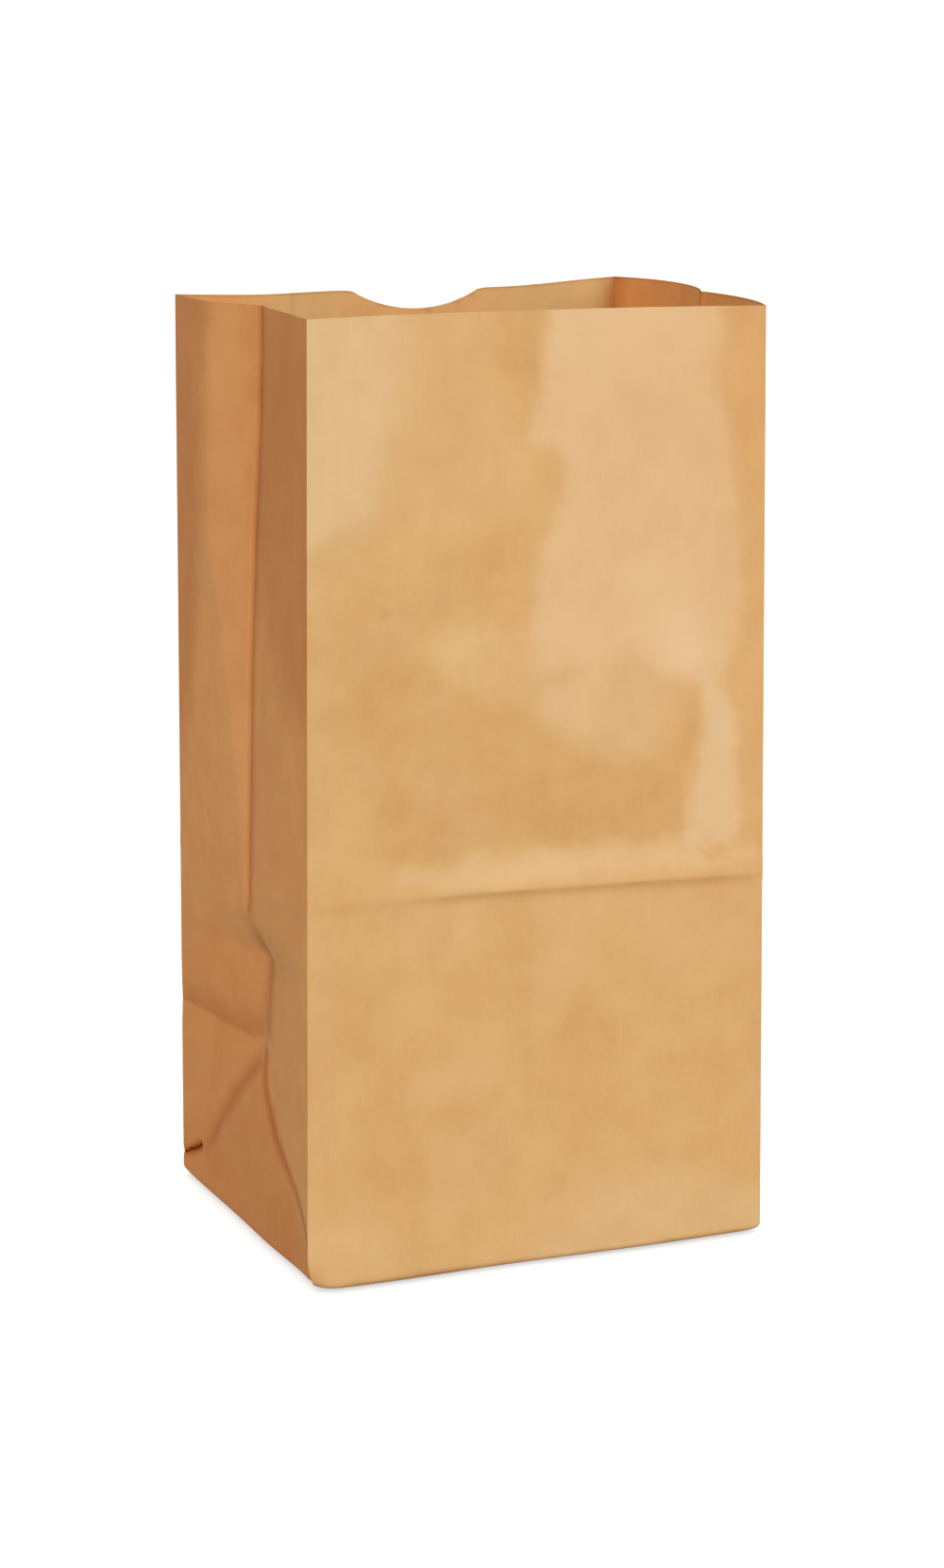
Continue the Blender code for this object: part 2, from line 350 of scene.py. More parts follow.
@dataclass
class PaperBag:
    """The folded sheet: four creased walls, the floor and the glued flaps."""

    foot: Foot
    paper: float = 0.00015
    fold_radius: float = 0.0018
    step: float = 0.0020
    gusset_steps: int = 40
    fold_steps: int = 5
    crease_gap: float = 0.004
    rim_gap: float = 0.001
    corner_column: float = 0.0007
    notch_width: float = 0.035
    notch_depth: float = 0.0052
    tuck: float = 0.040
    overlap: float = 0.016
    flap_clearance: float = 0.006
    seam: float = 0.030
    seam_width: float = 0.012
    seam_edge: float = 0.0001
    front_bow: float = 0.0075
    back_bow: float = 0.0110
    right_bows: tuple[float, float] = (-0.0035, -0.0070)
    lift: float = 0.0009
    lift_reach: float = 0.034
    corner_reach: float = 0.004
    corner_share: float = 0.25
    sharp_degrees: float = 28.0

    def __post_init__(self) -> None:
        """Work out the heights that follow from how the bag folds flat, and the marks."""
        self.front_crease = self.foot.depth
        self.gusset_foot = self.foot.depth / 2 + self.fold_radius
        self.floor = 2 * self.paper
        self.marks = {
            Wall.FRONT: self.front_marks(),
            Wall.RIGHT: self.right_marks(),
            Wall.BACK: self.back_marks(),
            Wall.LEFT: self.left_marks(),
        }
        self.patches = {Wall.FRONT: self.front_patches(), Wall.LEFT: self.left_patches()}

    def length(self, wall: Wall) -> float:
        """Measure a wall from corner to corner."""
        return self.foot.width if wall.is_panel else self.foot.depth

    def along(self, wall: Wall, share: float) -> float:
        """Find the place along a wall of a share taken in the order of the corners."""
        return self.length(wall) * (share if wall in (Wall.FRONT, Wall.RIGHT) else 1 - share)

    def front_marks(self) -> list[Dent | Crease]:
        """List the hollows and creases of the front panel.

        Returns:
            The dents and creases, main ones first.
        """
        wide, fold = self.foot.width * MM, self.front_crease * MM
        return [
            # the crossing crease, one depth up: a ridge with painted shade on its lower lip
            Crease(((-10, fold + 1.5), (45, fold + 1), (wide + 10, fold - 1)), -0.4, 6, 3, fade=0,
                tone=0.05, tone_left=0.4, tone_right=2),
            Crease(((18, fold + 1.3), (45, fold + 1), (wide + 10, fold - 1)), -0.5, 6, 3, fade=30,
                tone=0.20, tone_left=0.4, tone_right=2.2),
            Crease(((30, fold + 6), (80, fold + 8), (wide + 10, fold + 7)), 0.7, 34, 5, fade=20),
            # the upper part: two smooth bands beside a darker middle strip
            Crease(((66, 260), (64, 222), (62, 196), (61.5, 140)), -0.8, 34, 18, fade=20),
            Crease(((25.5, 260), (24.5, 196), (3, 188)), 0.5, 18, 22, fade=10),
            Crease(((121, 260), (120, 110)), 0.7, 12, 28, fade=30),
            # the swelling's lower brim, from the left round to the right
            Crease(((12, 186), (31.5, 166), (40.5, 156), (51, 152), (62, 148), (80, 141), (100, 142)), -0.6,
                30, 34, fade=20),
            # the stiff fold at the right, with its bright lip
            Crease(((108.5, 162), (111.5, 148), (111, 132), (108.5, 108)), -1.2, 11, 14, fade=10),
            Dent(106, 164, 10, 10, -0.6, slant=-20.0),
            # the foot of the panel swells over the bottom fold
            Dent(96, 4, 36, 16, -1.2),
            Dent(22, 4, 24, 14, -1.2),
            # the bottom fold's painted shade where it turns under, hard at both ends
            Crease.drawn(((4, 0.3), (48, 0.3)), 12, 0.60, 2.6, 1),
            Crease.drawn(((30, 0.3), (110, 0.3)), 12, 0.32, 1.8, 1),
            Crease.drawn(((96, 0.3), (wide, 0.3)), 8, 0.60, 2.4, 1),
            # faint creases where the bottom lay folded
            Crease(((88, 52.5), (wide + 10, 50)), -0.2, 6, 3, fade=20),
            Crease(((80, 30), (120, 24.5)), -0.18, 6, 3, fade=15),
            # low, broad unevenness
            Dent(30, 75, 18, 12, 0.4, slant=20.0),
            Dent(75, 62, 24, 12, 0.4, slant=-15.0),
            Dent(108, 80, 16, 12, -0.4, slant=10.0),
            Dent(45, 40, 20, 10, -0.3, slant=12.0),
            # a fleck in the pulp
            Dent(22.8, 174.7, 0.9, 0.9, 0, tone=0.35),
        ]

    def front_patches(self) -> list[Patch]:
        """List the paler and darker areas of the front panel, mostly painted sheen and shade.

        Returns:
            The areas, from the rim down.
        """
        wide, high = self.foot.width * MM, 260
        return [
            # painted sheen on the smooth band at the upper left, and the plainer paper beside it
            Patch(((-10, high), (28.5, high), (27.5, 229), (22.5, 214), (20.5, 199), (13.5, 195.5),
                (3.5, 192), (-10, 191)), -0.34, 10),
            Patch(((29, high), (53, high), (54.5, 233), (62, 215), (64.5, 197), (42, 196), (25, 197),
                (22.5, 214)), -0.07, 10),
            # the darker streaks that hang from the rim
            Patch(((53, high), (70, high), (67, 235.5), (63.5, 219), (61, 228.5), (56, 238)), 0.09),
            Patch(((74.5, 210), (78.5, 209), (73.5, 198), (70, 191), (66.5, 192.5), (70.5, 200.5)), 0.05,
                4),
            # painted sheen on the smooth area at the upper right, brightest over the stiff fold
            Patch(((71.3, high), (116.5, high), (117.5, 228), (121.2, 213), (123.5, 191), (123.6, 164),
                (117.4, 153), (112, 159), (109.5, 153.5), (90.8, 157.5), (63.3, 158), (63.1, 168.5),
                (66.2, 187.5), (70, 193.5), (72.5, 203), (73.5, 210), (69, 215.5), (63.5, 216.5),
                (65.8, 227)), -0.38),
            Patch(((73, high), (111.5, high), (110, 234.5), (101.5, 230), (86, 231), (73, 236.5)), -0.10,
                8),
            Patch(((63.5, 155), (77.5, 158), (109.5, 153.5), (104.5, 142.5), (97, 133), (83, 134),
                (69.5, 140), (64, 145)), -0.22, 7),
            Patch(((64.5, 151.5), (72, 152), (81, 155), (80, 141.5), (72, 140.5), (64.5, 144.5)), -0.12, 5),
            Patch(((91, 183), (102.7, 186), (108.6, 177), (112, 165.5), (113.7, 158.5), (110.8, 153.5),
                (99, 156), (93.5, 165.5)), -0.12, 14),
            Patch(((102.7, 172), (109.4, 166), (113.7, 159.5), (110.8, 154), (102.8, 156), (100, 165)),
                -0.17, 9),
            # painted highlight on the stiff fold's lit side, and the right edge
            Patch(((112.3, 157), (115.4, 153), (120.6, 139), (123.2, 126), (124.5, 108.5), (107, 108.5),
                (107.9, 120), (111, 132), (111.7, 144.5)), -0.46, 5),
            Patch(((117.5, high), (131, high), (131, 188.5), (124.7, 176), (123.5, 191), (121.2, 213)),
                -0.03, 5),
            # painted shade over the hollow zone above the crossing crease
            Patch(((7, 197), (20, 197.5), (30.3, 186), (34.1, 171.5), (38, 159), (44.5, 152.5), (60.3, 149),
                (61.6, 142.5), (72.2, 136), (91, 132), (101.6, 133.5), (107, 145), (110.5, 152),
                (110.3, 132), (105.8, 108.5), (83, 110.5), (64, 111.5), (45.6, 109.5), (24.6, 107),
                (15.5, 120), (10.5, 135), (11.2, 159)), 0.075, 9),
            Patch(((31, 129.5), (61.5, 130.5), (77.5, 123), (104.5, 120), (104.5, 110), (64, 112),
                (45.6, 110), (24.6, 108), (22, 122)), 0.055, 12),
            Patch(((13, 175.5), (30, 169.5), (38, 157), (44.5, 148), (38, 132.5), (22, 134), (13, 153)),
                0.02, 12),
            # a cloud of painted shade and, under it, a paler tongue of painted sheen over the swelling
            Patch(((42.3, 195), (62, 189), (59.2, 177), (51.2, 168), (34.1, 171.5), (34.3, 182.5)), 0.08,
                9),
            Patch(((33, 167.5), (60.5, 168.5), (62.4, 159), (60.3, 149.7), (48.4, 152), (38, 158)), -0.15,
                5),
            # the painted highlight band on the crossing crease's ridge
            Patch(((23.3, 106), (26, 108), (48, 110), (77.5, 110), (104.5, 110.5), (110.5, 112.5),
                (111.3, 108), (wide, 105), (wide, 101), (104.5, 102), (77.5, 102.2), (51, 102.4),
                (26, 103.6)), -0.27, 4),
            Patch(((112.5, 108.2), (120.2, 107.8), (119.8, 105.2), (113, 105.8)), 0.30, 2),
            # clouds under the crossing crease
            Patch(((66, 98), (84, 97), (78, 78), (66, 70)), -0.12, 10),
            Patch(((22, 98), (50, 97), (46, 86), (26, 88)), -0.11, 10),
            Patch(((88, 94), (127, 96), (127, 80), (96, 78)), -0.09, 12),
            Patch(((36, 82), (58, 84), (60, 70), (40, 68)), 0.05, 9),
            Patch(((6, 82), (24, 80), (20, 60), (6, 62)), 0.05, 12),
            Patch(((30, 56), (52, 54), (48, 46), (26, 48)), -0.10, 7),
            Patch(((60, 66), (86, 62), (80, 44), (56, 40)), 0.05, 12),
            Patch(((14, 34), (40, 46), (56, 52), (46, 36), (20, 22)), 0.05, 10),
            Patch(((30, 40), (58, 40), (52, 22), (34, 18)), -0.08, 12),
            # painted sheen on the swollen foot, where it faces up
            Patch(((64, 12), (76, 22), (98, 24), (122, 16), (131, 9), (131, -10), (60, -10)), -0.20, 7),
            Patch(((-10, 14), (14, 20), (24, 12), (34, -10), (-10, -10)), -0.14, 7),
        ]

    def left_patches(self) -> list[Patch]:
        """List the painted light and shade of the left gusset, as paler and darker areas.

        Returns:
            The areas, from the rim down.
        """
        return [
            Patch(((72, 260), (110, 260), (110, 130), (96, 120), (82, 165), (77, 200)), 0.34, 18),
            # the tucked triangle at the foot, in painted shade
            Patch(((50, 50), (63, 37), (74, 25.5), (82, 14.5), (88, 4), (86, -10), (0, -10), (3, 9),
                (8, 18), (14, 22.5), (24.5, 26), (33.5, 30), (40.2, 35.5), (46, 40.5)), 0.09, 3),
            Patch(((84, 225), (98, 225), (98, 185), (86, 190)), 0.05, 12),
            Patch(((50, 250), (70, 250), (66, 130), (54, 100), (50.5, 90)), -0.09, 8),
            Patch(((-10, 260), (50, 260), (49, 180), (18, 150), (-10, 150)), 0.30, 24),
            Patch(((-10, 260), (50, 260), (50, 48), (30, 30), (-10, 30)), 0.03, 8),
            Patch(((-10, 260), (6, 260), (5, 110), (-10, 110)), 0.06),
            Patch(((50, 80), (110, 78), (110, -10), (0, -10), (0, 4), (50, 44)), 0.12, 8),
        ]

    def left_marks(self) -> list[Dent | Crease]:
        """List the hollows and creases of the left gusset.

        Returns:
            The dents and creases, main ones first.
        """
        deep, fold = self.foot.depth * MM, self.front_crease * MM
        half, apex = deep / 2, 48
        return [
            # the middle fold, with painted shade where the front half turns into it
            Crease(((half, 260), (half, 86)), 0.5, 1.2, 7, tone=0.46, tone_left=0.6, tone_right=6),
            Crease(((half, 83.5), (47, 78), (47.5, 52)), 0.4, 5, 5, tone=0.42, tone_left=6, tone_right=8),
            # the front crease runs on round the gusset's front half, with a faint painted highlight
            Crease(((-10, fold + 2), (20, fold - 1), (48, fold - 5)), -0.5, 6, 3.5, tone=-0.04),
            # the buckle under the strip's pointed end, with painted shade where it faces down
            Dent(49, 81.5, 4.5, 5.5, 0, tone=0.26),
            # the crease across the rear half, half a depth up, with a band of painted shade above it
            Crease(((50, 53.5), (62, 51.5), (74, 51), (deep + 10, 52)), 1, 11, 9, fade=3, tone=0.32,
                tone_left=8.5, tone_right=0.8),
            Crease(((80, 98.5), (deep + 10, 96.5)), -0.3, 4, 3, fade=8, tone=0.03),
            # the tucked triangle's two sides, drawn dark with painted shade
            Crease(((2.5, 4), (4, 11), (7.5, 17.5), (14, 22), (24.5, 25.5), (33.5, 29.7), (40.2, 35.3),
                (46, 40.4), (48, 46), (48, 53)), 0.3, 4.5, 4, fade=3, tone=0.64, tone_left=3.6,
                tone_right=3),
            Crease(((half, apex), (63, 36.8), (73.9, 25.4), (82.3, 14.5), (88, 9)), 0.4, 5.5, 5, tone=0.36,
                tone_left=4.4, tone_right=3.6),
            # the corner tuck at the back, which stands a little open, with a near-black painted shadow in
            # its slit
            Crease(((88.5, 12.2), (deep + 1, 5.8)), 2.2, 1.8, 4.2, fade=2, tone=1.05, tone_left=1.3,
                tone_right=2.2),
            # the foot lies in a little between the corners
            Dent(54, 2, 28, 14, 1.2),
            Dent(10, 0, 24, 13, 2.6),
            # soft hollows in the two halves, one with a little painted shade
            Dent(80, 225, 14, 30, -0.8),
            Dent(78, 120, 16, 40, -0.6),
            Dent(20, 225, 14, 28, 0.6, tone=0.03),
            Dent(22, 150, 14, 30, -0.4),
            Dent(80, 75, 14, 12, -0.6),
        ]

    def back_marks(self) -> list[Dent | Crease]:
        """List the hollows and creases of the back panel.

        Returns:
            The dents and creases, main ones first.
        """
        wide, high, seam = self.foot.width * MM, self.foot.height * MM, self.seam * MM
        foot, fold = self.gusset_foot * MM, self.front_crease * MM
        return [
            Crease.drawn(((-10, high), (wide + 10, high)), 0, 0.36, 1, 1),
            Crease.drawn(((wide, 290), (wide, 190)), 30, 0.50, 7, 7),
            Dent(18, high, 14, 60, 5),
            Dent(94, high, 20, 80, 4.5),
            Dent(46, high, 14, 60, -3.5),
            Crease.drawn(((seam, -10), (seam, 260)), 0, 0.16, 1.2, 0.4),
            # two creases across the back, drawn a little darker with painted shade
            Crease(((-10, foot), (wide + 10, foot)), -0.8, 3.5, 9, fade=0, tone=0.06),
            Crease(((-10, fold), (wide + 10, fold)), -0.3, 5, 3, fade=0, tone=0.03),
            Dent(40, 150, 30, 30, 1),
            Dent(95, 120, 26, 30, -0.8),
            Dent(70, 30, 40, 14, -0.8),
        ]

    def right_marks(self) -> list[Dent | Crease]:
        """List the hollows and creases of the right gusset.

        Returns:
            The dents and creases, main ones first.
        """
        deep, fold = self.foot.depth * MM, self.front_crease * MM
        half, foot, high = deep / 2, self.gusset_foot * MM, self.foot.height * MM
        return [
            # the middle fold and the creases below it are drawn darker with painted shade
            Crease(((half, 270), (half, 56)), 0.5, 4, 4, tone=0.62, tone_left=9, tone_right=0.8),
            Crease.drawn(((deep, 290), (deep, 190)), 30, 0.50, 1, 5),
            Crease.drawn(((-10, high), (deep + 10, high)), 0, 0.40, 1, 1),
            Crease(((-10, fold), (half, fold - 3)), -0.5, 7, 3.5),
            Crease(((52, 53.5), (deep + 10, 51)), 0.8, 8, 3, tone=0.10, tone_left=4, tone_right=0.8),
            Crease(((2, 2), (half, foot)), 0.5, 4, 3, fade=3, tone=0.14),
            Crease(((half, foot), (98, 2)), 0.5, 4, 3, fade=3, tone=0.10),
            Dent(24, 160, 14, 30, -0.8),
            Dent(78, 130, 14, 34, 0.7),
            Dent(76, 80, 14, 14, -0.6),
        ]

    def way_in(self, corner: int) -> Vector:
        """Point from a corner fold into the bag, in plan."""
        return WAYS_IN[corner] + WAYS_IN[corner - 1]

    def corner(self, index: int, up: float, inset: float) -> Vector:
        """Place one of the four corner folds.

        Args:
            index: The corner, from front left round by the right.
            up: Height above the floor.
            inset: How far the walls have turned in under the bottom.

        Returns:
            The fold's place in plan, from the foot's front left corner.
        """
        wide, deep = self.foot.width, self.foot.depth
        feet = ((0, 0), (wide, 0), (wide, deep), (0, deep))
        lean = up / self.foot.height * Vector(RIM_LEANS[index])
        return Vector(feet[index]) + inset * self.way_in(index) + lean

    def notch_drop(self, along: float) -> float:
        """Measure the thumb notch, a round arc cut from the back rim.

        Args:
            along: Place along the back wall.

        Returns:
            How far the rim lies below its full height.
        """
        aside = along - self.foot.width / 2
        if abs(aside) >= self.notch_width / 2:
            return 0.0
        radius = (self.notch_width**2 / 4 + self.notch_depth**2) / (2 * self.notch_depth)
        return sqrt(radius**2 - aside**2) - (radius - self.notch_depth)

    def corner_lift(self, wall: Wall, along: float) -> float:
        """Measure how much higher the rim stands round its back right corner.

        Args:
            wall: The wall.
            along: Place along the wall.

        Returns:
            How far the rim lies above its full height.
        """
        if wall not in (Wall.RIGHT, Wall.BACK):
            return 0.0
        return self.lift * exp(-(((self.length(wall) - along) / self.lift_reach) ** 2))

    def panel_inward(self, wall: Wall, share: float, up: float) -> float:
        """Measure how the front or back panel has settled between its corners.

        Args:
            wall: The front or the back.
            share: Place along the wall, from nought to one.
            up: Height above the floor.

        Returns:
            How far in the wall lies.
        """
        bow = self.front_bow if wall is Wall.FRONT else self.back_bow
        return 4 * share * (1 - share) * bow * (up / self.foot.height) ** 2

    def left_fold_depth(self, up: float) -> float:
        """Measure how far in the left gusset's middle fold lies.

        Args:
            up: Height above the floor.

        Returns:
            Its depth behind the line from corner to corner.
        """
        stops = (
            (self.gusset_foot, 0.0066),
            (0.076, 0.0080),
            (0.087, 0.0018),
            (0.105, 0.0022),
            (0.155, 0.0030),
            (0.190, 0.0043),
            (0.219, 0.0056),
            (self.foot.height, 0.0062),
        )
        return between(up, stops)

    def right_fold_depth(self, up: float) -> float:
        """Measure how far in the right gusset's middle fold lies.

        Args:
            up: Height above the floor.

        Returns:
            Its depth behind the line from corner to corner.
        """
        stops = (
            (self.gusset_foot, 0.0050),
            (self.front_crease, 0.0020),
            (self.foot.height, -0.0045),
        )
        return between(up, stops)

    def gusset_inward(self, wall: Wall, from_front: float, up: float) -> float:
        """Measure how a gusset has settled between its corners.

        Args:
            wall: The left or the right.
            from_front: Place along the gusset, from its front corner.
            up: Height above the floor.

        Returns:
            How far in the wall lies.
        """
        half = self.foot.depth / 2
        nearness = 1 - abs(from_front / half - 1)
        reach = min(nearness, up / self.gusset_foot)
        rise = (up / self.foot.height) ** 2
        behind = from_front > half
        if wall is Wall.RIGHT:
            bow = self.right_bows[behind]
            return self.right_fold_depth(up) * reach + 4 * nearness * (1 - nearness) * bow * rise
        inward = self.left_fold_depth(up) * reach
        if behind and up > self.gusset_foot:
            inward += self.strip_inward(from_front - half, up)
        return inward

    def strip_inward(self, behind: float, up: float) -> float:
        """Measure the strip behind the left gusset's middle fold.

        The strip turns towards the front, so the rest of the rear half lies
        flatter and further out.

        Args:
            behind: How far behind the middle fold.
            up: Height above the floor.

        Returns:
            How far in the wall lies, beside an even slope to the back corner.
        """
        half = self.foot.depth / 2
        edges = (
            (0.084, 0.0008),
            (0.105, 0.0036),
            (0.125, 0.0058),
            (0.145, 0.0102),
            (0.165, 0.0145),
            (0.185, 0.0215),
        )
        sinks = ((0.084, 0.0), (0.105, 0.0009), (0.145, 0.0020), (0.185, 0.0036), (0.249, 0.0042))
        edge, sink = between(up, edges), between(up, sinks)
        if behind < edge:
            return -sink * behind / edge
        return -sink * (half - behind) / (half - edge)

    def blunted(self, corner: int, distance: float, up: float) -> float:
        """Measure how far a wall is pushed in near a corner of the foot.

        Args:
            corner: The corner, from front left round by the right.
            distance: Distance from the corner fold along the wall.
            up: Height above the floor.

        Returns:
            How far in, along both walls, the place is moved.
        """
        reach, push = BLUNTING[corner]
        if up >= reach or distance >= reach:
            return 0.0
        return push * (1 - up / reach) ** 1.5 * (1 - distance / reach) ** 2

    def wall_point(self, wall: Wall, share: float, up: float, inset: float) -> Vector:
        """Place a point of the sheet's outer face.

        Args:
            wall: The wall it lies on.
            share: Place along the wall in the order of the corners.
            up: Height above the floor.
            inset: How far the walls have turned in under the bottom.

        Returns:
            The point, in the frame's own place.
        """
        index, along = wall.value, self.along(wall, share)
        if wall is Wall.BACK:
            up = min(up, self.foot.height - self.notch_drop(along))
        start, end = self.corner(index, up, inset), self.corner((index + 1) % 4, up, inset)
        plan = start.lerp(end, share)
        if wall.is_panel:
            inward = self.panel_inward(wall, share, up)
        else:
            inward = self.gusset_inward(wall, along, up)
        if wall is Wall.BACK and 0 <= along - self.seam <= self.seam_width:
            inward -= self.paper * (1 - (along - self.seam) / self.seam_width)
        near = min(share, 1 - share) * self.length(wall)
        marks = sum(mark.inward(along * MM, up * MM) for mark in self.marks[wall]) / MM
        inward += marks * (self.corner_share + (1 - self.corner_share) * smooth(near / self.corner_reach))
        corner = index if share < 0.5 else (index + 1) % 4
        push = self.blunted(corner, near, up)
        plan = plan + WAYS_IN[index] * inward + self.way_in(corner) * push
        lift = self.corner_lift(wall, along) * (up / self.foot.height) ** 3
        return Vector((self.foot.left + plan.x, self.foot.front + plan.y, up + lift))

    def columns(self) -> list[tuple[Wall, float]]:
        """List the columns of points round the walls.

        Returns:
            Each column's wall and place along it, from nought to one.
        """
        found = []
        for wall in Wall:
            length = self.length(wall)
            count = round(length / self.step) if wall.is_panel else 2 * self.gusset_steps
            shares = [step / count for step in range(count)]
            shares += [self.corner_column / length, 1 - self.corner_column / length]
            if wall is Wall.BACK:
                shares += [1 - (self.seam + side) / length for side in (-self.seam_edge, self.seam_edge)]
            found += [(wall, share) for share in sorted(shares)]
        return found

    def rows(self) -> list[tuple[float, float]]:
        """List the rows of points from the floor up.

        Returns:
            Each row's height and its inset under the bottom.
        """
        radius, fold, rows = self.fold_radius, self.front_crease, []
        for step in range(self.fold_steps):
            turn = pi / 2 * step / self.fold_steps
            rows.append((self.floor + radius * (1 - cos(turn)), radius * (1 - sin(turn))))
        rows.append((self.floor + radius, 0.0))
        foot, steps = self.gusset_foot, self.gusset_steps
        rows += [(foot * step / steps, 0.0) for step in range(2, steps + 1)]
        rows += self.even_rows(foot, fold - self.crease_gap)
        rows += [(fold + above, 0.0) for above in CREASE_ROWS]
        rows += self.even_rows(fold + CREASE_ROWS[-1], self.foot.height - self.rim_gap)
        rows.append((self.foot.height, 0.0))
        return rows

    def even_rows(self, low: float, high: float) -> list[tuple[float, float]]:
        """List even rows of wall points above one height, up to another."""
        count = round((high - low) / self.step)
        return [(low + (high - low) * step / count, 0.0) for step in range(1, count + 1)]

    def add_flap(self, mesh: bmesh.types.BMesh, from_back: bool, low: float) -> None:
        """Add one of the two flaps that are folded and glued under the floor.

        Args:
            mesh: The sheet so far.
            from_back: Whether the flap is folded in from the back.
            low: Height of the flap's lower face.
        """
        wide, deep, turn = self.foot.width, self.foot.depth, self.fold_radius
        reach, clear = (deep + self.overlap) / 2, turn + self.flap_clearance
        outline = [
            (clear, turn),
            (wide - clear, turn),
            (wide - self.tuck, self.tuck),
            (wide - self.tuck, reach),
            (self.tuck, reach),
            (self.tuck, self.tuck),
        ]
        if from_back:
            outline = [(x, deep - y) for x, y in reversed(outline)]
        face = mesh.faces.new(
            [mesh.verts.new((self.foot.left + x, self.foot.front + y, low)) for x, y in outline]
        )
        face.normal_update()
        if face.normal.z > 0:
            face.normal_flip()

    def build(self) -> bpy.types.Object:
        """Build the sheet as one object, with its thickness.

        Returns:
            The bag, which replaces the frame's shell.
        """
        mesh = bmesh.new()
        places = self.columns()
        rings = [
            [mesh.verts.new(self.wall_point(wall, share, up, inset)) for wall, share in places]
            for up, inset in self.rows()
        ]
        for lower, upper in zip(rings, rings[1:]):
            for index, (_wall, share) in enumerate(places):
                after = (index + 1) % len(places)
                quad = (lower[index], lower[after], upper[after], upper[index])
                split = 0 if share < 0.5 else 1
                mesh.faces.new((quad[split], quad[split + 1], quad[split + 2]))
                mesh.faces.new((quad[split], quad[split + 2], quad[(split + 3) % 4]))
        mesh.faces.new(list(reversed(rings[0])))
        self.add_flap(mesh, from_back=False, low=0.0)
        self.add_flap(mesh, from_back=True, low=self.paper)
        data = bpy.data.meshes.new("paper_bag")
        mesh.to_mesh(data)
        mesh.free()
        self.shade(data, places)
        self.join_doubles(data)
        bag = bpy.data.objects.new("paper_bag", data)
        bpy.context.scene.collection.objects.link(bag)
        sheet = bag.modifiers.new("sheet", "SOLIDIFY")
        sheet.thickness = self.paper
        sheet.offset = -1.0
        sheet.use_even_offset = False
        sheet.material_offset = 1
        sheet.material_offset_rim = 0
        return self.settled(bag)

    def shade(self, data: bpy.types.Mesh, places: list[tuple[Wall, float]]) -> None:
        """Write how much darker or paler each wall point is: painted shade and sheen, and marks.

        Args:
            data: The sheet's mesh, whose first points are the rows of the walls.
            places: The columns of those rows.
        """
        tones = data.attributes.new(SHADE_AND_MARK_TONE, "FLOAT", "POINT")
        for row, (up, _inset) in enumerate(self.rows()):
            for column, (wall, share) in enumerate(places):
                along = self.along(wall, share)
                tone = sum(mark.shade(along * MM, up * MM) for mark in self.marks[wall])
                moved = strayed(wall, along * MM, up * MM)
                tone += sum(patch.shade(*moved) for patch in self.patches.get(wall, []))
                tones.data[row * len(places) + column].value = tone

    def join_doubles(self, data: bpy.types.Mesh) -> None:
        """Join the points that fall together along the notch.

        Args:
            data: The sheet's mesh.
        """
        mesh = bmesh.new()
        mesh.from_mesh(data)
        bmesh.ops.remove_doubles(mesh, verts=mesh.verts, dist=self.paper / 20)
        mesh.to_mesh(data)
        mesh.free()

    def settled(self, bag: bpy.types.Object) -> bpy.types.Object:
        """Fix the sheet's thickness in its mesh and smooth all but its folds.

        Args:
            bag: The sheet with its modifier.

        Returns:
            The same object, with a finished mesh.
        """
        graph = bpy.context.evaluated_depsgraph_get()
        data = bpy.data.meshes.new_from_object(bag.evaluated_get(graph), depsgraph=graph)
        bag.modifiers.clear()
        bag.data = data
        data.shade_smooth()
        data.set_sharp_from_angle(angle=radians(self.sharp_degrees))
        return bag


def feed(tree: Tree, node: bpy.types.Node, inputs: dict[str | int, object]) -> bpy.types.Node:
    """Fill in a node's inputs.

    Args:
        tree: The nodes that it belongs to.
        node: The node.
        inputs: A value, or a socket to link, for each input's name or number.

    Returns:
        The same node.
    """
    for name, value in inputs.items():
        if isinstance(value, Socket):
            tree.links.new(value, node.inputs[name])
        else:
            node.inputs[name].default_value = value
    return node


def add_node(tree: Tree, kind: str, inputs: dict[str | int, object]) -> bpy.types.Node:
    """Add a shader node with its inputs filled in."""
    return feed(tree, tree.nodes.new("ShaderNode" + kind), inputs)


def reckon(tree: Tree, operation: str, *inputs: object) -> Socket:
    """Add a sum of values or sockets.

    Args:
        tree: The nodes to add it to.
        operation: The sum's kind.
        inputs: What it is made of.

    Returns:
        Its result.
    """
    node = tree.nodes.new("ShaderNodeMath")
    node.operation = operation
    return feed(tree, node, dict(enumerate(inputs))).outputs["Value"]


def mix_colours(tree: Tree, factor: Socket, under: Socket | Colour, over: Colour) -> Socket:
    """Lay a colour over another.

    Args:
        tree: The nodes to add the mix to.
        factor: How strongly the upper colour is laid.
        under: The colour below, or its socket.
        over: The colour laid on it.

    Returns:
        The mixed colour.
    """
    node = tree.nodes.new("ShaderNodeMix")
    node.data_type = "RGBA"
    below = (*under, 1.0) if isinstance(under, tuple) else under
    return feed(tree, node, {"Factor": factor, "A": below, "B": (*over, 1.0)}).outputs["Result"]


@dataclass(frozen=True)
class Grain:
    """A cloud pattern in the paper, and how strongly it counts.

    Stretch is each spot's width as a share of its height. The pattern starts to
    count at one value and counts fully, with its strength, at another.
    """

    scale: float
    detail: float
    stretch: float
    start: float
    full: float
    strength: float


BROAD = Grain(30.0, 3.0, 0.8, 0.30, 0.70, 0.20)
BLOTCH = Grain(95.0, 4.0, 1.0, 0.36, 0.64, 0.21)
FIBRE = Grain(1300.0, 2.0, 0.30, 0.50, 0.80, 0.14)
STREAK = Grain(500.0, 2.0, 0.06, 0.50, 0.80, 0.06)


